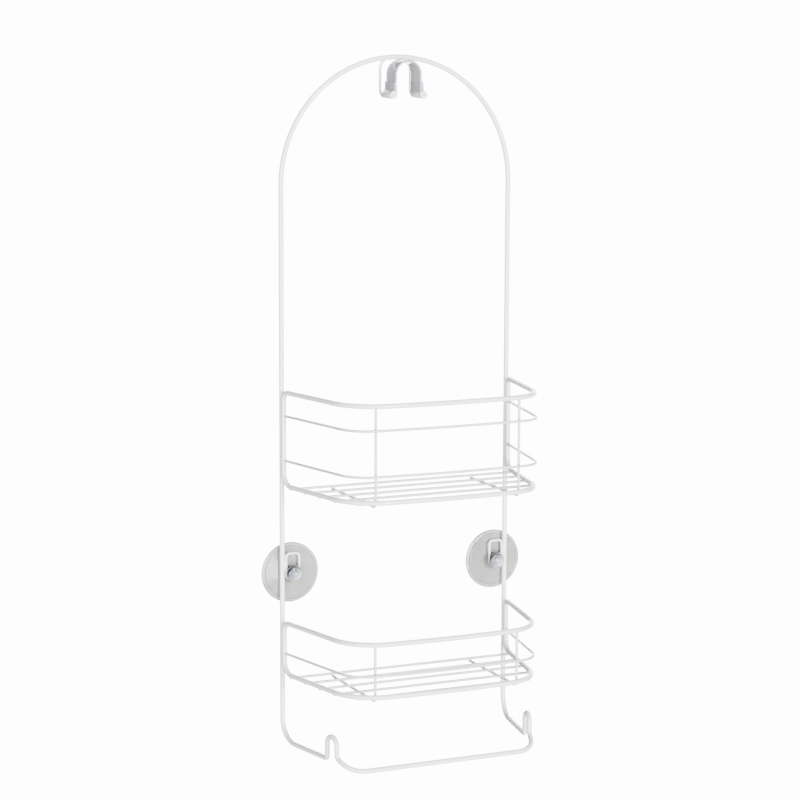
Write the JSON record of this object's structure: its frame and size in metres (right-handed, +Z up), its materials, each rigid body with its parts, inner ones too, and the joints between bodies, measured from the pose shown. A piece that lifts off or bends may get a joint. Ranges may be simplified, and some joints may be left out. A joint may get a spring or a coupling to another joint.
{
  "type": "hanging shower caddy",
  "caption": "White coated wire shower caddy with an arched frame, two open baskets, a front towel bar with razor hooks, a hanger with a soft grip strap and sliding suction cups.",
  "frame": {"origin": "top of the shower arm in the arch's plane, midway between the uprights: where the strap's seat rests on the arm", "axes": "+Z up, +Y towards the wall, +X to the right seen from the front"},
  "size_m": [0.2552, 0.1251, 0.6145],
  "materials": {
    "white_coat": "smooth satin plastic coating on steel wire",
    "grip_vinyl": "soft, clear, slightly milky",
    "clear_vinyl": "soft, clear, glossy"
  },
  "bodies": {
    "frame": {"frame_wire": "white_coat", "upper_basket_frame": "white_coat", "upper_basket_rail_1": "white_coat", "upper_basket_rail_2": "white_coat", "upper_basket_floor_wire_1": "white_coat", "upper_basket_floor_wire_2": "white_coat", "upper_basket_floor_wire_3": "white_coat", "upper_basket_floor_wire_4": "white_coat", "upper_basket_floor_wire_5": "white_coat", "upper_basket_support_left": "white_coat", "upper_basket_support_right": "white_coat", "lower_basket_frame": "white_coat", "lower_basket_rail": "white_coat", "lower_basket_floor_wire_1": "white_coat", "lower_basket_floor_wire_2": "white_coat", "lower_basket_floor_wire_3": "white_coat", "lower_basket_floor_wire_4": "white_coat", "lower_basket_floor_wire_5": "white_coat", "lower_basket_support_left": "white_coat", "lower_basket_support_right": "white_coat", "hanger_hook": "white_coat", "left_cup_loop": "white_coat", "right_cup_loop": "white_coat", "grip_strap": "grip_vinyl"},
    "left_cup": {"left_suction_cup": "clear_vinyl"},
    "right_cup": {"right_suction_cup": "clear_vinyl"}
  },
  "joints": [
    {"name": "left_cup_slide", "type": "slide", "parent": "frame", "child": "left_cup", "axis": [0, 0, 1], "range_m": [0, 0.0123]},
    {"name": "right_cup_slide", "type": "slide", "parent": "frame", "child": "right_cup", "axis": [0, 0, 1], "range_m": [0, 0.0123]}
  ]
}
